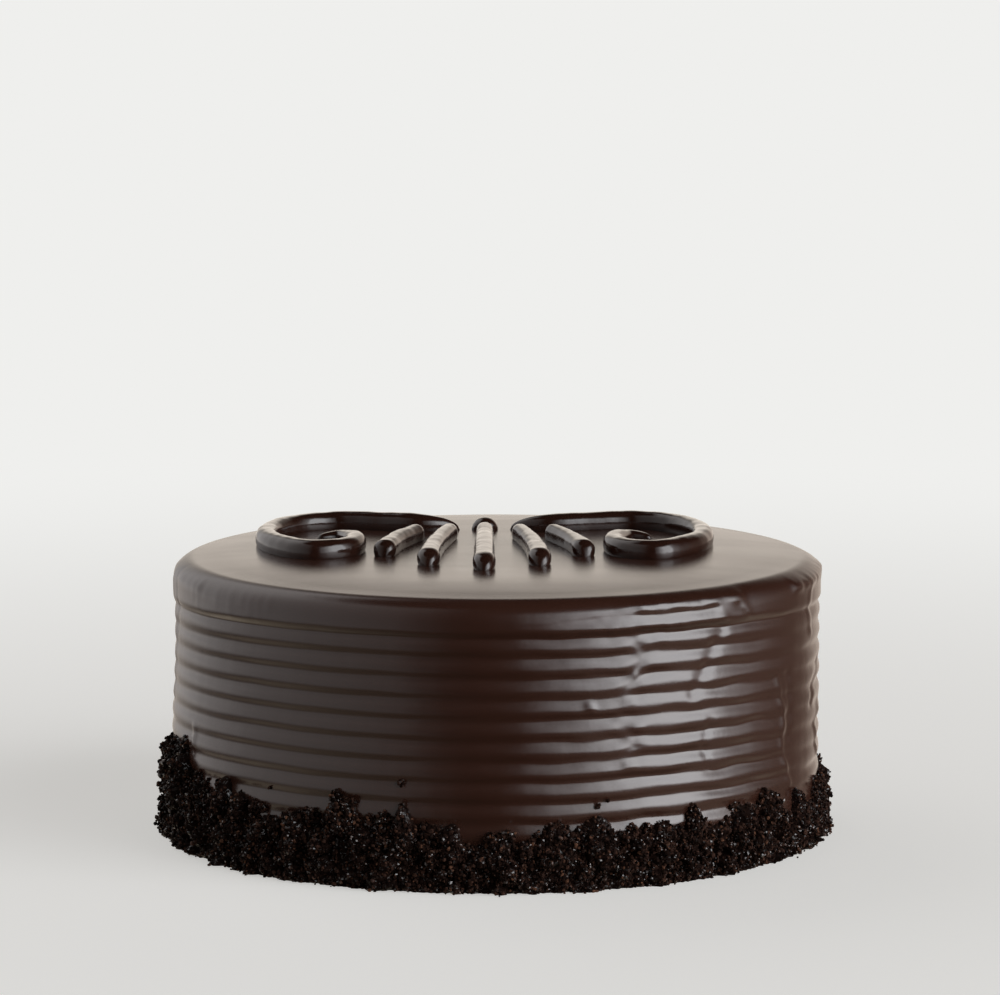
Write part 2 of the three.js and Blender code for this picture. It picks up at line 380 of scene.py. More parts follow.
# other marks in the side, as lines of degrees from the front and heights; fade is how far they take to grow
slips = [
    {"path": [(20, 83.9), (25, 83.6), (29, 83.9), (34, 83.5), (38, 83.8), (46, 83.4)],
     "width": 2.3, "height": 1.25, "fade": 5},
    {"path": [(8, 78.9), (15, 79.4), (21, 80), (25, 80.1), (29, 79.6), (33, 80.1), (37, 79.7), (40, 80.2)],
     "width": 1.1, "height": -0.4, "fade": 9},
    {"path": [(6, 76), (16, 76.4), (28, 76.6), (42, 77)], "width": 2, "height": 0.4, "fade": 16},
    {"path": [(64, 82.4), (90, 82.8), (125, 82.6)], "width": 2.2, "height": 1.3},
    {"path": [(-104, 83), (-80, 83), (-64, 82.6)], "width": 2.2, "height": 0.5, "fade": 12},
    {"path": [(41.5, 73), (38, 62.6), (35.3, 56)], "width": 2.3, "height": -0.45},
    {"path": [(39, 47), (37.5, 40), (38.5, 33)], "width": 1.3, "height": -0.2},
    {"path": [(57.3, 55), (58, 50), (59.5, 44.6), (58.5, 33.7), (62, 22)], "width": 1.2, "height": 0.35},
    {"path": [(61, 56), (62, 46), (61, 36)], "width": 1.5, "height": -0.25},
    {"path": [(81, 55), (75, 49), (74, 44)], "width": 1.6, "height": -0.45},
    {"path": [(83, 42), (77.3, 36), (79, 27)], "width": 1.6, "height": 0.4},
    {"path": [(72, 82), (71, 74), (73, 66)], "width": 1.6, "height": 0.25},
    {"path": [(15.5, 54.2), (16, 53.8)], "width": 1.3, "height": 0.4},
    {"path": [(47, 79.5), (48, 77.5)], "width": 1.4, "height": 0.35},
    {"path": [(-65.5, 38.5), (-65.8, 33.5)], "width": 1.2, "height": 0.4},
    {"path": [(-78, 84), (-77, 72), (-79, 64)], "width": 1.8, "height": -0.3},
    {"path": [(-82, 80), (-81, 60), (-83, 44)], "width": 2, "height": 0.3},
    {"path": [(118, 82), (121, 66), (116, 48), (119, 30)], "width": 2.2, "height": -0.4},
    {"path": [(163, 80), (166, 62), (164, 45)], "width": 2.4, "height": 0.35},
    {"path": [(-127, 83), (-131, 70), (-126, 52)], "width": 2.2, "height": 0.35},
]
slipDrift = (0.4, 4, 13)  # share that their heights drift by, its size and seed
# short runs of glaze under the rim on the left
runs = {
    "from": -66,
    "step": 3.1,
    "stepDrift": (0.4, 5.3),  # share of a step, and the turn from one to the next
    "count": 9,
    "top": 83,
    "length": 5,
    "lengthDrift": (2.2, 2.1),
    "width": 1.3,
    "height": 0.08,
}


def glazeProfile():
    g = glaze
    low, high = g["lastGroove"], cakeHeight - g["rimRound"]
    flat = cakeRadius - g["rimRound"]
    points = [(flat * i / g["topPoints"], cakeHeight) for i in range(g["topPoints"])]
    for i in range(g["rimPoints"] + 1):
        turn = math.pi / 2 * i / g["rimPoints"]
        points.append((flat + g["rimRound"] * math.sin(turn), high + g["rimRound"] * math.cos(turn)))
    count = round((high - low) / g["sideStep"])
    points += [(cakeRadius, high + (low - high) * i / count) for i in range(1, count + 1)]
    for i in range(1, g["footPoints"] + 1):
        points.append((cakeRadius, low + (g["footRound"] - low) * i / g["footPoints"]))
    return points + [(cakeRadius - g["footRound"], 0), (0, 0)]


def combCut(z, angle, wander, fade, calm):  # how far the side lies inside the lip's radius
    g = glaze
    level = z + g["combDrop"] * (1 - np.maximum(np.cos(angle), 0)) + wander
    phase = (g["firstGroove"] - level) / g["ridgePitch"] * 2 * np.pi
    groove = fade * (0.5 + 0.5 * np.cos(phase)) ** g["grooveNarrowing"]
    ridges = g["lipProud"] + g["ridgeDepth"] * (groove + (combJoint["sunk"] - groove) * calm)
    share = np.clip((level - g["firstGroove"]) / (g["lipHeight"] - g["firstGroove"]), 0, 1)
    deepest = g["lipProud"] + g["ridgeDepth"] * (fade + (combJoint["sunk"] - fade) * calm)
    lip = deepest * (1 - np.sin(share * np.pi / 2))
    plain = g["lipProud"] + g["ridgeDepth"]
    cut = np.where(level > g["firstGroove"], lip, ridges)
    return np.where(z < g["lastGroove"], plain, cut)


def apartFrom(path, spot):  # distance of points on the unrolled side from a line drawn on it
    corners = np.array([(math.radians(turn) * cakeRadius, level) for turn, level in path])
    apart = np.full(len(spot), np.inf)
    for first, last in zip(corners, corners[1:]):
        run = last - first
        share = np.clip(((spot - first) @ run) / (run @ run), 0, 1)
        apart = np.minimum(apart, np.linalg.norm(spot - first - share[:, None] * run, axis=1))
    return apart


def slipHeight(spot):  # beads and dents along short lines on the side
    height = np.zeros(len(spot))
    for turn, level in combJoint["beads"]:
        apart = apartFrom([(turn, level), (turn + 1, level)], spot)
        height += combJoint["beadHeight"] * swell(apart, combJoint["beadWidth"])
    for slip in slips:
        beyond = np.degrees(spot[:, 0] / cakeRadius) - slip["path"][0][0]
        grown = np.clip(beyond / slip["fade"], 0, 1) if "fade" in slip else 1
        height += grown * slip["height"] * swell(apartFrom(slip["path"], spot), slip["width"])
    stepShare, stepTurn = runs["stepDrift"]
    lengthShare, lengthTurn = runs["lengthDrift"]
    for i in range(runs["count"]):
        turn = runs["from"] + runs["step"] * (i + stepShare * math.sin(stepTurn * i))
        low = runs["top"] - runs["length"] - lengthShare * math.sin(lengthTurn * i)
        run = apartFrom([(turn, runs["top"]), (turn, low)], spot)
        height += runs["height"] * swell(run, runs["width"])
    return height


def crownAt(radius):  # how far the top stands above the cake's height at its rim
    edge = cakeRadius - glaze["rimRound"]
    share = np.clip((radius - glaze["crownFrom"]) / (edge - glaze["crownFrom"]), 0, 1)
    return glaze["crown"] * (1 - share ** glaze["crownPower"]) - glaze["rimDrop"]


def makeGlaze():
    g = glaze
    profile = np.array(glazeProfile())
    bm, column, row = gridSheet(g["steps"], len(profile) - 1)
    radius, z = profile[row].T
    angle = 2 * np.pi * (column % g["steps"]) / g["steps"] - np.pi
    angle = angle - g["frontCrowding"] * np.sin(angle)
    wall = onSide(angle, cakeRadius, z)
    spot = np.column_stack([angle * cakeRadius, z])
    flow = wall * g["strokeStretch"]
    grown = np.clip(g["frontShare"] + g["growth"] * np.sin(angle), 0, 1)
    quick = g["steady"] + (1 - g["steady"]) * grown
    wander = ripple(wall, *g["combWander"]) + quick * ripple(flow, *g["combWaver"])
    degrees = np.degrees(angle)
    turns, levels = zip(*combJoint["path"][::-1])
    beyond = degrees - np.interp(z, levels, turns)
    shifted = np.clip(beyond / combJoint["shiftOver"] + 0.5, 0, 1)
    wander -= combJoint["shift"] * shifted * np.clip(1 - beyond / combJoint["shiftEnds"], 0, 1)
    calm = np.interp(z, levels, combJoint["calm"][::-1])
    calm *= swell(apartFrom(combJoint["path"], spot), combJoint["calmWidth"])
    depth = 1 + quick * ripple(flow, *g["combFade"])
    for middle, width, share in g["weakSpots"]:
        depth *= 1 - share * swell(degrees - middle, width)
    side = np.clip((radius - (cakeRadius - g["rimRound"])) / g["rimRound"], 0, 1)
    bulge = ripple(wall, *g["unround"]) + g["belly"] * np.sin(np.pi * np.clip(z / cakeHeight, 0, 1))
    bulge += g["flare"] * swell(z - g["flareHeight"], g["flareSpread"]) * np.maximum(0, -np.sin(angle)) ** 2
    bulge += ripple(wall * g["swayStretch"], *g["sway"])
    bulge += ripple(wall * g["streakStretch"], *g["streak"])
    marks = slipHeight(spot) * (1 + ripple(wall, *slipDrift))
    out = bulge - combCut(z, angle, wander, depth, calm) + marks
    moved = onSide(angle, radius + side * out, z)
    onTop = np.clip(z - (cakeHeight - g["rimRound"]), 0, g["rimRound"]) / g["rimRound"]
    moved[:, 2] += onTop * (crownAt(radius) + ripple(moved, *g["topSwell"]))
    moveTo(bm, moved)
    closeUp(bm)
    return meshPiece("chocolate_glaze", bm, chocolateMaterial("chocolateGlaze", glazeFinish))


glazePiece = makeGlaze()
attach(glazePiece, "root")
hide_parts("glazed_cake")
print("glaze made:", len(glazePiece.data.polygons), "faces")


# the crumb band: a craggy core with tufts standing out of it, and loose grains on top
band = {
    "clearance": 0.3,
    "thickness": 3.6,
    "lean": 1.3,
    "taper": 0.5,
    "height": 22,
    "tilt": 4,
    "highSide": -85,
    "inside": 1.8,  # between the tufts the core stays this far inside the solid's face
    "steps": 1200,
    "levels": 62,
    "lump": 3.2,
    "lumpRelief": 0.6,
    "nodule": 1.5,
    "noduleRelief": 1.8,
    "gapDrop": 3.6,  # between the tufts the top line lies this far down
    "crumble": (0.9, 1.5, 9),  # raggedness of the top line, in small bites
    "bigCrumble": (1.8, 6.4, 8),  # and in big ones
    "roundFrom": 0.84,  # share of its height above which the band rounds over to the glaze
    "tuckIn": 1.5,  # its top edge ends this far inside the deepest groove
    "coreShadeTone": 0.45,  # the core is painted darker than the grains on it: painted shade in the gaps between them
}
bandSwells = [  # angle, width and rise of the high and low places in its top line
    (-75, 13, 5),
    (-40, 7, -3),
    (-1, 7, -5),
    (128, 16, 4),
    (205, 12, -4),
]
bareSpots = {
    "depth": 6,
    "bluntness": 6,
    "places": [(-47.5, 19.5, 1.6), (-44.5, 18, 1.2), (39, 9, 1.7), (41.5, 7, 1.2)],  # angle, height, radius
}


def bandTop(angle):
    degrees = np.degrees(angle)
    top = band["height"] + band["tilt"] * np.cos(angle - math.radians(band["highSide"]))
    for middle, width, rise in bandSwells:
        apart = (degrees - middle + 540) % 360 - 180
        top = top + rise * swell(apart, width)
    return top


def coreRadius(angle, level):
    foot = band["thickness"] + band["lean"] * np.cos(angle - math.radians(band["highSide"]))
    return crestRadius + band["clearance"] + foot * (1 - band["taper"] * level ** 2)


# tufts: the solid's own clumps, taller ones that make the top line, and small knobs all over
goldenStep, levelStep, sizeStep = 0.6180339887, 0.7548776662, 0.569840291  # these spread the clumps evenly
tufts = {
    "clumps": 105,
    "clumpRadius": (2.3, 3.6),
    "bluntness": 2,  # the clumps and the knobs are as round as balls
    "sink": 0.5,
    "crowding": 0.7,
    "knobs": 520,
    "knobRadius": (1.3, 2.8),
    "knobOut": (-0.5, 1.1),
    "tall": 38,
    "tallJitter": (-0.3, 0.3),  # share of the distance between them
    "tallWidth": (2.5, 5.6),
    "tallRise": (-1.5, 2.8),
    "tallHeight": (7, 14),
    "tallOut": (0.2, 2),  # proud of the solid's face
    "tallBluntness": 6,
    "shown": [(-86, 31), (-70, 31.6), (-54, 27.4), (-27, 27), (-16, 25.7), (10, 20.5), (17, 22), (35, 21.6),
              (54, 22.8)],  # angle and height of those seen in the photograph
    "ragged": 1.5,  # their outlines waver by this much, aside and upwards
    "raggedSeeds": (5, 6),
    "seed": 11,
}


def tuftPlaces():  # angle, height, half width, half height, how far out of the core and bluntness
    t = tufts
    rng = np.random.default_rng(t["seed"])
    i = np.arange(t["clumps"])
    radius = t["clumpRadius"][0] + np.ptp(t["clumpRadius"]) * ((i * sizeStep) % 1)
    angle = (2 * np.pi * ((i * goldenStep) % 1) + np.pi) % (2 * np.pi) - np.pi
    foot = t["sink"] * radius
    z = foot + (bandTop(angle) - radius - foot) * ((i * levelStep) % 1) ** t["crowding"]
    blunt = np.full(t["clumps"], t["bluntness"])
    clumps = np.column_stack([angle, z, radius, radius, band["inside"] + foot, blunt])
    order = np.arange(t["tall"]) + rng.uniform(*t["tallJitter"], t["tall"])
    angle = 2 * np.pi * order / t["tall"] - np.pi
    top = bandTop(angle) + rng.uniform(*t["tallRise"], t["tall"])
    for turn, height in t["shown"]:
        nearest = np.argmin(np.abs(np.degrees(angle) - turn))
        angle[nearest], top[nearest] = math.radians(turn), height
    low = top - rng.uniform(*t["tallHeight"], t["tall"])
    width = rng.uniform(*t["tallWidth"], t["tall"])
    out = band["inside"] + rng.uniform(*t["tallOut"], t["tall"])
    blunt = np.full(t["tall"], t["tallBluntness"])
    tall = np.column_stack([angle, (top + low) / 2, width, (top - low) / 2, out, blunt])
    angle = rng.uniform(-np.pi, np.pi, t["knobs"])
    z = rng.uniform(0, 1, t["knobs"]) * bandTop(angle)
    radius = rng.uniform(*t["knobRadius"], t["knobs"])
    out = band["inside"] + rng.uniform(*t["knobOut"], t["knobs"])
    blunt = np.full(t["knobs"], t["bluntness"])
    knobs = np.column_stack([angle, z, radius, radius, out, blunt])
    return clumps, tall, knobs


def across(angle, middle):  # distance along the band
    return ((angle - middle + np.pi) % (2 * np.pi) - np.pi) * crestRadius


def topLine(angle, tallTufts):
    b = band
    edge = onSide(angle, crestRadius, 0 * angle)
    top = bandTop(angle) - b["gapDrop"] + ripple(edge, *b["bigCrumble"])
    for middle, z, width, tall, _, _ in tallTufts:
        share = across(angle, middle) / width
        peak = z + tall * np.sqrt(np.maximum(0, 1 - share ** 2))
        top = np.where(np.abs(share) < 1, np.maximum(top, peak), top)
    return top + ripple(edge, *b["crumble"])


def coreFace(angle, level, z, places):  # radius of the craggy face, and a tone for each nodule of it
    b = band
    face = onSide(angle, np.full_like(z, crestRadius), z)
    shift, drift = (ripple(face, tufts["ragged"], b["lump"], seed) for seed in tufts["raggedSeeds"])
    out = np.zeros_like(z)
    for middle, height, width, tall, reach, blunt in places:
        near = np.abs(across(angle, middle)) < width + 2 * tufts["ragged"]
        aside = (across(angle[near], middle) + shift[near]) / width
        above = np.abs(z[near] - height + drift[near]) / tall
        stands = reach * np.sqrt(np.maximum(0, 1 - aside ** 2 - above ** blunt))
        out[near] = np.maximum(out[near], stands)
    cells = [noise.voronoi(Vector(point) / b["nodule"]) for point in face]
    nodule = 0.5 - np.array([gaps[0] for gaps, spots in cells])
    # the core's tone is scaled down: painted shade where it shows between the grains
    tone = b["coreShadeTone"] * np.array([0.5 + 0.5 * noise.cell(spots[0]) for gaps, spots in cells])
    out += b["lumpRelief"] * shift + b["noduleRelief"] * nodule
    for turn, height, size in bareSpots["places"]:
        apart = np.hypot(across(angle, math.radians(turn)), z - height)
        out -= bareSpots["depth"] * np.exp(-((apart / size) ** bareSpots["bluntness"]))
    radius = coreRadius(angle, level) - b["inside"] + out
    over = np.clip((level - b["roundFrom"]) / (1 - b["roundFrom"]), 0, 1)
    under = deepRadius - b["tuckIn"]
    return np.where(over > 0, under + (radius - under) * np.sqrt(1 - over ** 2), radius), tone


def addTone(mesh, values):
    tone = mesh.attributes.new("tone", "FLOAT", "POINT")
    tone.data.foreach_set("value", np.asarray(values, np.float32))


def makeCore(material):  # and its face, for the grains to lie on
    b = band
    rows = b["levels"] + 2
    bm, column, row = gridSheet(b["steps"], rows)
    column %= b["steps"]
    turns = 2 * np.pi * np.arange(b["steps"]) / b["steps"] - np.pi
    places = tuftPlaces()
    top = topLine(turns, places[1])
    level = np.clip((row - 1) / b["levels"], 0, 1)
    z = level * top[column]
    radius, tone = coreFace(turns[column], level, z, np.vstack(places))
    face = np.zeros((b["levels"] + 1, b["steps"]))
    outer = (row > 0) & (row < rows)
    face[row[outer] - 1, column[outer]] = radius[outer]
    inner = deepRadius - bareSpots["depth"]
    moveTo(bm, onSide(turns[column], np.where(outer, radius, inner), z))
    layer = bm.verts.layers.float.new("tone")
    for vert, value in zip(bm.verts, tone):
        vert[layer] = value
    closeUp(bm)
    loops = [edge for edge in bm.edges if edge.is_boundary]
    bmesh.ops.bridge_loops(bm, edges=loops)
    bmesh.ops.recalc_face_normals(bm, faces=bm.faces)
    return meshPiece("crumb_core", bm, material, smooth=False), face, top


# loose grains over the core, little clusters on the glaze above it and a few fallen at the foot
grains = {
    "coarse": (9700, 0.4, 0.72),  # how many, least and greatest radius
    "medium": (9800, 0.32, 0.54),
    "fine": (9800, 0.22, 0.42),
    "subdivisions": 1,
    "topCrowding": 0.8,  # below 1 there are more of them near the top line
    "hiddenUnder": 1.2,  # none where the core lies this far inside the ridge crests
    "stretch": (0.65, 1.3),
    "uneven": 0.28,
    "proud": (0.05, 0.85),  # share of its radius that a grain's middle stands out of the core
    "clusters": 190,  # balls of grains along the top line
    "clusterRadius": (0.8, 2.2),
    "clusterRise": (-2.2, 1.4),
    "strayShare": 0.15,  # of them lie on the glaze higher up and are small
    "strayRise": 2.2,
    "straySize": 0.45,
    "clusterOut": 0.45,  # share of its radius that a cluster's middle stands out of the ridge crests
    "clusterShare": 0.2,
    "fallenShare": 0.006,
    "fallenReach": 0.7,
    "fallenRise": 0.6,  # share of its radius at which a fallen grain's middle lies
    "seed": 23,
}


def ballTemplate():
    bm = bmesh.new()
    bmesh.ops.create_icosphere(bm, subdivisions=grains["subdivisions"], radius=1)
    points = coordinates(bm)
    faces = np.array([[vert.index for vert in face.verts] for face in bm.faces])
    bm.free()
    return points, faces


def spins(rng, count):  # random rotations, as matrices
    q = rng.normal(size=(count, 4))
    w, x, y, z = (q / np.linalg.norm(q, axis=1, keepdims=True)).T
    rows = [
        [1 - 2 * (y * y + z * z), 2 * (x * y - z * w), 2 * (x * z + y * w)],
        [2 * (x * y + z * w), 1 - 2 * (x * x + z * z), 2 * (y * z - x * w)],
        [2 * (x * z - y * w), 2 * (y * z + x * w), 1 - 2 * (x * x + y * y)],
    ]
    return np.array(rows).transpose(2, 0, 1)


def clusterPlaces(top):
    g = grains
    rng = np.random.default_rng(g["seed"] + 1)
    column = rng.integers(band["steps"], size=g["clusters"])
    size = rng.uniform(*g["clusterRadius"], g["clusters"])
    stray = rng.random(g["clusters"]) < g["strayShare"]
    size = np.where(stray, g["straySize"] * size, size)
    z = top[column] + rng.uniform(*g["clusterRise"], g["clusters"])
    z += np.where(stray, rng.exponential(g["strayRise"], g["clusters"]), 0)
    turn = 2 * np.pi * column / band["steps"] - np.pi
    return onSide(turn, crestRadius + g["clusterOut"] * size, z), size


def grainPlaces(rng, sizes, face, top, clusters):
    g, count = grains, len(sizes)
    column = rng.integers(band["steps"], size=count)
    turn = 2 * np.pi * column / band["steps"] - np.pi
    level = rng.random(count) ** g["topCrowding"]
    radius = face[np.round(level * band["levels"]).astype(int), column]
    place = onSide(turn, radius + sizes * rng.uniform(*g["proud"], count), level * top[column])
    middles, reach = clusters
    pick = rng.choice(len(reach), count, p=reach ** 3 / np.sum(reach ** 3))
    ball = rng.normal(size=(count, 3))
    ball *= (reach[pick] * np.cbrt(rng.random(count)) / np.linalg.norm(ball, axis=1))[:, None]
    foot = face[0, column] + rng.exponential(g["fallenReach"], count)
    fallen = onSide(turn, foot, g["fallenRise"] * sizes)
    kind = rng.random(count)
    place = np.where((kind < g["clusterShare"])[:, None], middles[pick] + ball, place)
    place = np.where((kind > 1 - g["fallenShare"])[:, None], fallen, place)
    hidden = (radius < crestRadius - g["hiddenUnder"]) & (kind >= g["clusterShare"])
    return place, ~hidden


def scatter(name, places, sizes, rng, material):
    ball, faces = ballTemplate()
    count = len(places)
    crags = rng.uniform(1 - grains["uneven"], 1 + grains["uneven"], (count, len(ball), 1))
    shapes = ball[None] * crags * sizes[:, None]
    points = np.einsum("nkj,nji->nki", shapes, spins(rng, count)) + places[:, None]
    points[..., 2] = np.maximum(points[..., 2], 0)
    allFaces = faces[None] + len(ball) * np.arange(count)[:, None, None]
    mesh = bpy.data.meshes.new(name)
    mesh.from_pydata((points.reshape(-1, 3) * mm).tolist(), [], allFaces.reshape(-1, 3).tolist())
    addTone(mesh, np.repeat(rng.random(count), len(ball)))
    return addPiece(name, mesh, material)


def makeBand():
    g = grains
    material = crumbMaterial()
    core, face, top = makeCore(material)
    clusters = clusterPlaces(top)
    made = [core]
    rng = np.random.default_rng(g["seed"])
    for kind in ("coarse", "medium", "fine"):
        count, least, most = g[kind]
        sizes = rng.uniform(least, most, count)
        places, kept = grainPlaces(rng, sizes, face, top, clusters)
        shapes = sizes[:, None] * rng.uniform(*g["stretch"], (count, 3))
        made.append(scatter("crumb_" + kind, places[kept], shapes[kept], rng, material))
    return made


for crumbPiece in makeBand():
    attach(crumbPiece, "root")
    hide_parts("crumb_band")
    print("crumbs made:", crumbPiece.name, len(crumbPiece.data.polygons), "faces")


# piped strokes: a flat-footed round rope laid along a line on the glaze
rope = {
    "width": 7,
    "height": 5.6,
    "footAngle": 40,
    "sides": 24,
    "sink": 0.5,  # the foot goes this far into the glaze
    "flatness": 0.85,  # below 1 the section is flatter on top than a circle
    "lean": 0.05,  # the top slopes towards the front
    "swell": 0.05,  # share that its thickness drifts by
    "swellLength": 14,
    "fold": 0.02,  # and by which it wrinkles
    "foldLength": 4,
    "foldSlant": 3,  # how quickly the wrinkles change up the rope
    "stepLength": 0.7,
}


def flattened(value):
    return np.sign(value) * np.abs(value) ** rope["flatness"]


def strokePiece(name, line, widthAt, heightAt, liftAt, material, seed):
    r = rope
    line = np.asarray(line)
    steps, sides = len(line) - 1, r["sides"]
    bm, step, side = gridSheet(steps, sides)
    along = step / steps
    ahead = np.gradient(line, axis=0)
    ahead /= np.linalg.norm(ahead, axis=1, keepdims=True)
    foot = math.radians(r["footAngle"])
    turn = (side - 1) / (sides - 2) * (math.pi + 2 * foot) - foot
    underside = (side == 0) | (side == sides)
    across = np.where(underside, 0, flattened(np.cos(turn)))
    rise = flattened(math.sin(foot))
    up = np.where(underside, 0, (flattened(np.sin(turn)) + rise) / (1 + rise))
    middle = line[step]
    flow = np.column_stack([middle, np.zeros(len(middle))])
    drift = 1 + ripple(flow, r["swell"], r["swellLength"], seed)
    aside = np.column_stack([ahead[step, 1], -ahead[step, 0]])
    offset = aside * (across * drift * widthAt(along) / 2)[:, None]
    skin = np.column_stack([middle + offset, r["foldSlant"] * up])
    folds = 1 + ripple(skin, r["fold"], r["foldLength"], seed)
    spot = middle + offset * folds[:, None]
    base = cakeHeight + crownAt(np.linalg.norm(spot, axis=1)) - r["sink"]
    thick = drift * heightAt(along) * folds + r["sink"] + r["lean"] * offset[:, 1]
    z = base + liftAt(along) + up * thick
    moveTo(bm, np.column_stack([spot, z]))
    closeUp(bm)
    return meshPiece(name, bm, material)


def roundOff(share):
    return np.sqrt(np.maximum(0, 1 - (1 - np.minimum(share, 1)) ** 2))


def roundedEnds(along, start, end):
    return roundOff(along / start) * roundOff((1 - along) / end)


def noLift(along):
    return 0 * along


pointsPerSpan = 20


def smoothLine(route, stepLength):  # centripetal curve through the points, with even steps
    route = np.asarray(route, float)
    ends = np.vstack([2 * route[0] - route[1], route, 2 * route[-1] - route[-2]])
    curve = []
    for p0, p1, p2, p3 in zip(ends, ends[1:], ends[2:], ends[3:]):
        d0, d1, d2 = (math.sqrt(np.linalg.norm(b - a)) for a, b in ((p0, p1), (p1, p2), (p2, p3)))
        t1 = ((p1 - p0) / d0 - (p2 - p0) / (d0 + d1) + (p2 - p1) / d1) * d1
        t2 = ((p2 - p1) / d1 - (p3 - p1) / (d1 + d2) + (p3 - p2) / d2) * d1
        s = np.linspace(0, 1, pointsPerSpan, endpoint=False)[:, None]
        curve.append(
            (2 * s ** 3 - 3 * s ** 2 + 1) * p1 + (s ** 3 - 2 * s ** 2 + s) * t1
            + (3 * s ** 2 - 2 * s ** 3) * p2 + (s ** 3 - s ** 2) * t2
        )
    curve = np.vstack(curve + [route[-1:]])
    run = np.concatenate([[0], np.cumsum(np.linalg.norm(np.diff(curve, axis=0), axis=1))])
    marks = np.linspace(0, run[-1], round(run[-1] / stepLength) + 1)
    return np.column_stack([np.interp(marks, run, curve[:, 0]), np.interp(marks, run, curve[:, 1])])


# two scrolls back to back, a fan of petals between them and a drop at the back
ornamentMiddle = (-4, 0)
scroll = {
    "route": [(8, 41), (20, 38), (34, 42), (48, 45), (60, 38), (67, 22), (67.5, 4), (62, -13), (52.5, -24),
              (43.5, -20), (40, -6), (45, 7), (52, 4)],
    "ends": (0.1, 0.12),
    "tailLift": 2,
    "tailFrom": 0.94,
}
petal = {
    "width": 7.2,
    "height": 5,
    "narrowing": 0.3,
    "bow": 1.5,
    "ends": (0.12, 0.1),
    "stepLength": 0.9,
    "strokes": [
        ((-20, 22), (-31, -22)),
        ((-10, 26), (-17, -42)),
        ((0, 30), (0, -52)),
        ((10, 26), (17, -42)),
        ((20, 22), (31, -22)),
    ],
}
pearl = {"place": (0, 42), "radius": 4.2, "height": 4, "steps": 24}


def makeScroll(name, side, material, seed):
    s = scroll
    line = smoothLine(np.array(s["route"]) * (side, 1) + ornamentMiddle, rope["stepLength"])
    return strokePiece(
        name,
        line,
        lambda along: rope["width"] * roundedEnds(along, *s["ends"]),
        lambda along: rope["height"] * roundedEnds(along, *s["ends"]),
        lambda along: s["tailLift"] * np.maximum(0, (along - s["tailFrom"]) / (1 - s["tailFrom"])) ** 2,
        material,
        seed,
    )


def makePetal(name, start, end, material, seed):
    p = petal
    run = np.subtract(end, start)
    share = np.linspace(0, 1, round(np.linalg.norm(run) / p["stepLength"]) + 1)[:, None]
    bow = p["bow"] * np.sign(start[0]) * np.sin(np.pi * share) * (1, 0)
    line = np.array(start) + share * run + bow + ornamentMiddle
    return strokePiece(
        name,
        line,
        lambda along: p["width"] * (1 - p["narrowing"] * (1 - along)) * roundedEnds(along, *p["ends"]),
        lambda along: p["height"] * roundedEnds(along, *p["ends"]),
        noLift,
        material,
        seed,
    )


def makePearl(name, material, seed):
    p = pearl
    share = -np.cos(np.linspace(0, np.pi, p["steps"] + 1))
    line = np.column_stack([p["radius"] * share, 0 * share]) + p["place"] + ornamentMiddle
    return strokePiece(
        name,
        line,
        lambda along: 2 * p["radius"] * np.sin(np.pi * along),
        lambda along: p["height"] * np.sin(np.pi * along),
        noLift,
        material,
        seed,
    )


def makeOrnament():
    material = chocolateMaterial("pipedChocolate", pipingFinish)
    made = {}
    for i, side in enumerate((-1, 1), 1):
        made["piped_scroll_%d" % i] = makeScroll("scroll_rope_%d" % i, side, material, len(made) + 1)
    for i, (start, end) in enumerate(petal["strokes"], 1):
        made["piped_petal_%d" % i] = makePetal("petal_%d" % i, start, end, material, len(made) + 1)
    made["piped_pearl"] = makePearl("pearl", material, len(made) + 1)
    return made


for node, strokeMade in makeOrnament().items():
    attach(strokeMade, "root")
    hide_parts(node)
print("ornament piped")


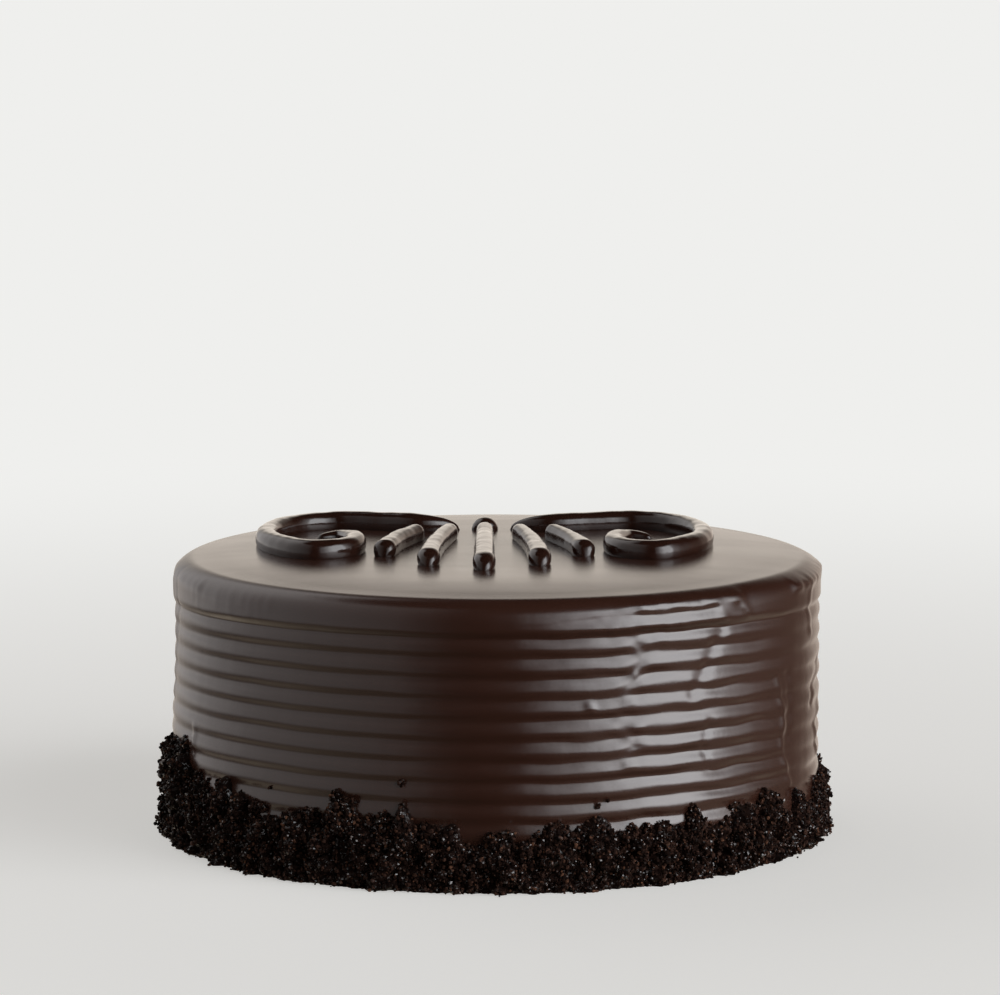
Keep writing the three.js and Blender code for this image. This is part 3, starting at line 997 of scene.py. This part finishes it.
# stage: a pale floor that melts into a pale backdrop, lit by soft panels all round
studio = {
    "backdrop": (0.863, 0.863, 0.847),
    "floorColour": (0.78, 0.77, 0.75),
    "floorGlow": (0.46, 0.457, 0.443),
    "floorRadius": 6.0,  # in metres, like the fade
    "floorSegments": 96,
    "fadeFrom": 0.12,
    "fadeTo": 0.95,
}
panels = [  # strength by azimuth from the front, in degrees, between two elevations with soft edges
    {  # a large soft light on the right
        "rise": (-8, 44),
        "soft": (5, 9),
        "gain": 2.75,
        "tint": (0.95, 0.97, 1),
        "stops": [(8, 0), (12, 0.05), (26, 0.22), (37, 0.47), (50, 0.9), (79, 0.93), (86, 0.28),
                  (95, 0.17), (104, 0.06), (112, 0.025), (124, 0)],
    },
    {  # a card on the left
        "rise": (-36, 71),
        "skew": (0.18, -0.11),  # its lower edge climbs towards the back, its upper edge falls
        "soft": (10, 6),
        "gain": 0.7,
        "tint": (1, 0.965, 0.955),
        "stops": [(-170, 0), (-158, 0.99), (-134, 0.955), (-114, 0.74), (-96, 0.5), (-77, 0.39),
                  (-54, 0.28), (-35, 0.19), (-24, 0.07), (-15, 0.01), (-8, 0)],
    },
    {  # a warm card behind
        "rise": (-38, 23),
        "soft": (8, 12),
        "gain": 1.2,
        "tint": (1, 0.905, 0.8),
        "stops": [(-180, 1), (-174, 1), (-167, 0.3), (-160, 0), (145, 0), (160, 0.4), (168, 0.5),
                  (174, 1), (180, 1)],
    },
    {  # a weaker one on the right
        "rise": (-38, 14),
        "soft": (8, 10),
        "gain": 1.0,
        "tint": (1, 0.77, 0.63),
        "stops": [(8, 0), (25, 0.042), (45, 0.11), (75, 0.135), (98, 0.1), (114, 0.085), (132, 0.1),
                  (146, 0.27), (156, 0.385), (166, 0.27), (175, 0)],
    },
    {  # and one low down on the left
        "rise": (-36, -4),
        "soft": (6, 6),
        "gain": 1.0,
        "tint": (1, 0.88, 0.76),
        "stops": [(-178, 0), (-168, 0.3), (-156, 0.34), (-146, 0.24), (-134, 0.14), (-118, 0.03),
                  (-108, 0)],
    },
    {  # warm light from below, for the lower slopes of the ridges
        "rise": (-80, -26),
        "soft": (5, 8),
        "gain": 1.0,
        "tint": (1, 0.86, 0.66),
        "stops": [(-180, 0.05), (-165, 0.8), (-150, 0.7), (-110, 0.29), (-70, 0.115), (-25, 0.025),
                  (-10, 0.005), (12, 0.005), (45, 0.025), (95, 0.06), (115, 0.17), (130, 0.27),
                  (165, 0.45), (180, 0.05)],
    },
]


def panelLight(nodes, azimuth, elevation, panel):
    stops = [(turn / 360 + 0.5, rgba(panel["tint"], gain)[:3]) for turn, gain in panel["stops"]]
    colour = nodes.make("ShaderNodeValToRGB", {"stops": stops}, {0: azimuth / 360 + 0.5})
    (low, high), (lowSoft, highSoft) = panel["rise"], panel["soft"]
    lowSkew, highSkew = panel.get("skew", (0, 0))
    above = (elevation + azimuth * lowSkew).step(low - lowSoft, low + lowSoft)
    below = 1 - (elevation + azimuth * highSkew).step(high - highSoft, high + highSoft)
    sockets = {0: colour, "Scale": above * below * panel["gain"]}
    return nodes.make("ShaderNodeVectorMath", {"operation": "SCALE"}, sockets)


def makeWorld():
    world = bpy.data.worlds.new("studio")
    scene.world = world
    world.use_nodes = True
    tree = world.node_tree
    tree.nodes.clear()
    nodes = Sock(tree)
    direction = nodes.make("ShaderNodeTexCoord", pick="Generated")
    x, y, z = (nodes.make("ShaderNodeSeparateXYZ", {}, {0: direction}, axis) for axis in range(3))
    toDegrees = 180 / math.pi
    azimuth = nodes.sum("ARCTAN2", x, 0 - y) * toDegrees
    elevation = nodes.sum("ARCSINE", z) * toDegrees
    light = panelLight(nodes, azimuth, elevation, panels[0])
    for panel in panels[1:]:
        more = panelLight(nodes, azimuth, elevation, panel)
        light = nodes.make("ShaderNodeVectorMath", {"operation": "ADD"}, {0: light, 1: more})
    seen = nodes.make("ShaderNodeLightPath", pick="Is Camera Ray")
    shown = seen.blend(light, rgba(studio["backdrop"]))
    output(nodes, nodes.make("ShaderNodeBackground", {}, {"Color": shown}), "ShaderNodeOutputWorld")


def makeFloor():
    s = studio
    bm = bmesh.new()
    radius = s["floorRadius"] / mm
    bmesh.ops.create_circle(bm, cap_ends=True, segments=s["floorSegments"], radius=radius)
    material, nodes, place = newMaterial("paleFloor")
    apart = nodes.make("ShaderNodeVectorMath", {"operation": "LENGTH"}, {0: place}, "Value")
    far = apart.step(s["fadeFrom"], s["fadeTo"])
    matt = nodes.make("ShaderNodeBsdfDiffuse", {}, {"Color": rgba(s["floorColour"])})
    glow = nodes.make("ShaderNodeEmission", {}, {"Color": rgba(s["floorGlow"])})
    near = nodes.make("ShaderNodeAddShader", {}, {0: matt, 1: glow})
    backdrop = nodes.make("ShaderNodeEmission", {}, {"Color": rgba(s["backdrop"])})
    output(nodes, nodes.make("ShaderNodeMixShader", {}, {0: far, 1: near, 2: backdrop}))
    floor = meshPiece("floor", bm, material)
    floor.visible_glossy = False  # only the panels show in the glaze
    floor.visible_diffuse = False
    floor.visible_shadow = False


makeWorld()
makeFloor()
scene.view_settings.view_transform = "Standard"
print("stage set")

bpy.context.view_layer.update()
